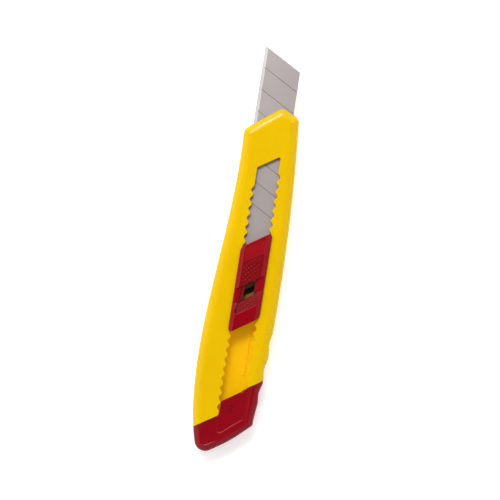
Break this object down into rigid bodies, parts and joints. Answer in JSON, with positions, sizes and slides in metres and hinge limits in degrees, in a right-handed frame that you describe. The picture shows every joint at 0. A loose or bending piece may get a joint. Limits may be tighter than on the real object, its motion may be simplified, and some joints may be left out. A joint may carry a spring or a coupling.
{
  "type": "utility knife",
  "caption": "Snap-off utility knife with a slim two-shell handle, serrated lock window, sliding thumb button, pull-off end cap and scored blade.",
  "frame": {"origin": "on the flat back of the handle, under the middle of its length", "axes": "+Y towards the blade tip, +Z out of the window side, +X away from the cutting edge"},
  "size_m": [0.0335, 0.1922, 0.0154],
  "materials": {
    "yellow_plastic": "satin moulded plastic",
    "dark_red_plastic": "smooth moulded plastic",
    "red_plastic": "satin moulded plastic",
    "spring_steel": "bright rolled strip",
    "blade_steel": "ground carbon steel"
  },
  "bodies": {
    "handle": {"handle_front": "yellow_plastic", "handle_rear": "yellow_plastic"},
    "cap": {"end_cap": "dark_red_plastic"},
    "slide": {"slider": "red_plastic", "blade_carrier": "yellow_plastic", "lock_spring": "spring_steel", "blade": "blade_steel"}
  },
  "joints": [
    {"name": "blade_slide", "type": "slide", "parent": "handle", "child": "slide", "axis": [0, 1, 0], "range_m": [-0.04023, 0.03576], "deforming": ["lock_spring"]},
    {"name": "cap_pull", "type": "slide", "parent": "handle", "child": "cap", "axis": [0, -1, 0], "range_m": [0, 0.04]}
  ]
}
